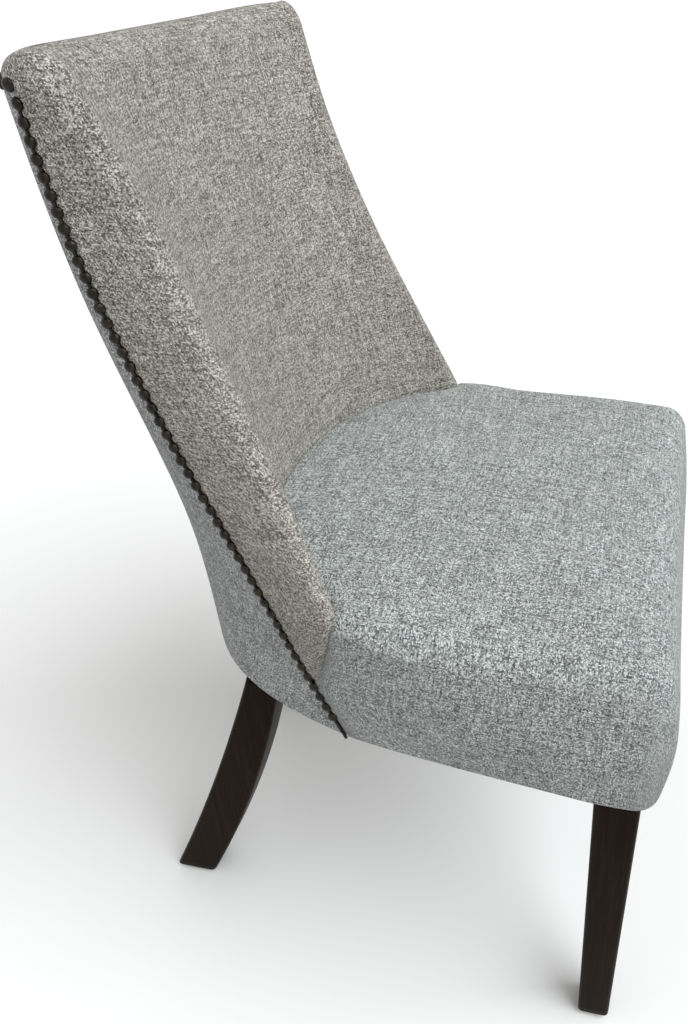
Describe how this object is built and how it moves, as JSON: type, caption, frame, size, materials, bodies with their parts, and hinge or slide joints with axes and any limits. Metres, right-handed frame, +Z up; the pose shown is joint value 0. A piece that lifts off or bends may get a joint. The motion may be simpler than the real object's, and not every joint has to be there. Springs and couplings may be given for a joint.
{
  "type": "upholstered dining chair",
  "caption": "Upholstered dining chair with a wrap-around barrel back, winged sides with beaded nail trim, a thick boxed seat and dark wooden legs.",
  "frame": {"origin": "on the floor, in the middle of the chair's width and of its depth", "axes": "+Z up, -Y towards the front, the way the sitter faces, +X towards the sitter's left"},
  "size_m": [0.5066, 0.5724, 0.9565],
  "materials": {
    "cool_fabric": "matt heathered grey tweed, cool",
    "warm_fabric": "matt heathered grey tweed, warmer",
    "trim_metal": "satin dark bronze",
    "dark_wood": "satin espresso lacquer",
    "frame_wood": "bare hardwood",
    "foam": "open-cell upholstery foam",
    "panel_board": "bare board",
    "webbing": "woven strap",
    "black_cloth": "matt non-woven cloth",
    "zinc_steel": "zinc plated",
    "glide_plastic": "matt nylon"
  },
  "bodies": {
    "root": {"front_leg_left": "dark_wood", "front_leg_right": "dark_wood", "rear_leg_left": "dark_wood", "rear_leg_right": "dark_wood", "front_glide_left": "glide_plastic", "front_glide_right": "glide_plastic", "rear_glide_left": "glide_plastic", "rear_glide_right": "glide_plastic", "front_hanger_stud_left": "zinc_steel", "front_hanger_stud_right": "zinc_steel", "rear_hanger_stud_left": "zinc_steel", "rear_hanger_stud_right": "zinc_steel", "front_stud_nut_left": "zinc_steel", "front_stud_nut_right": "zinc_steel", "rear_stud_nut_left": "zinc_steel", "rear_stud_nut_right": "zinc_steel", "front_corner_block_left": "frame_wood", "front_corner_block_right": "frame_wood", "rear_corner_block_left": "frame_wood", "rear_corner_block_right": "frame_wood", "front_rail": "frame_wood", "side_rail_left": "frame_wood", "side_rail_right": "frame_wood", "rear_rail": "frame_wood", "seat_cross_strap_1": "webbing", "seat_cross_strap_2": "webbing", "seat_cross_strap_3": "webbing", "seat_length_strap_1": "webbing", "seat_length_strap_2": "webbing", "seat_length_strap_3": "webbing", "seat_foam": "foam", "seat_cover": "cool_fabric", "dust_cover": "black_cloth", "back_post_left": "frame_wood", "back_post_right": "frame_wood", "lower_back_rail": "frame_wood", "middle_back_rail": "frame_wood", "crest_rail": "frame_wood", "back_strap_1": "webbing", "back_strap_2": "webbing", "back_strap_3": "webbing", "back_foam": "foam", "back_panel": "panel_board", "inside_back_cover": "warm_fabric", "outside_back_cover": "cool_fabric", "nail_trim_left": "trim_metal", "nail_trim_right": "trim_metal", "nail_trim_top": "trim_metal"}
  },
  "joints": []
}
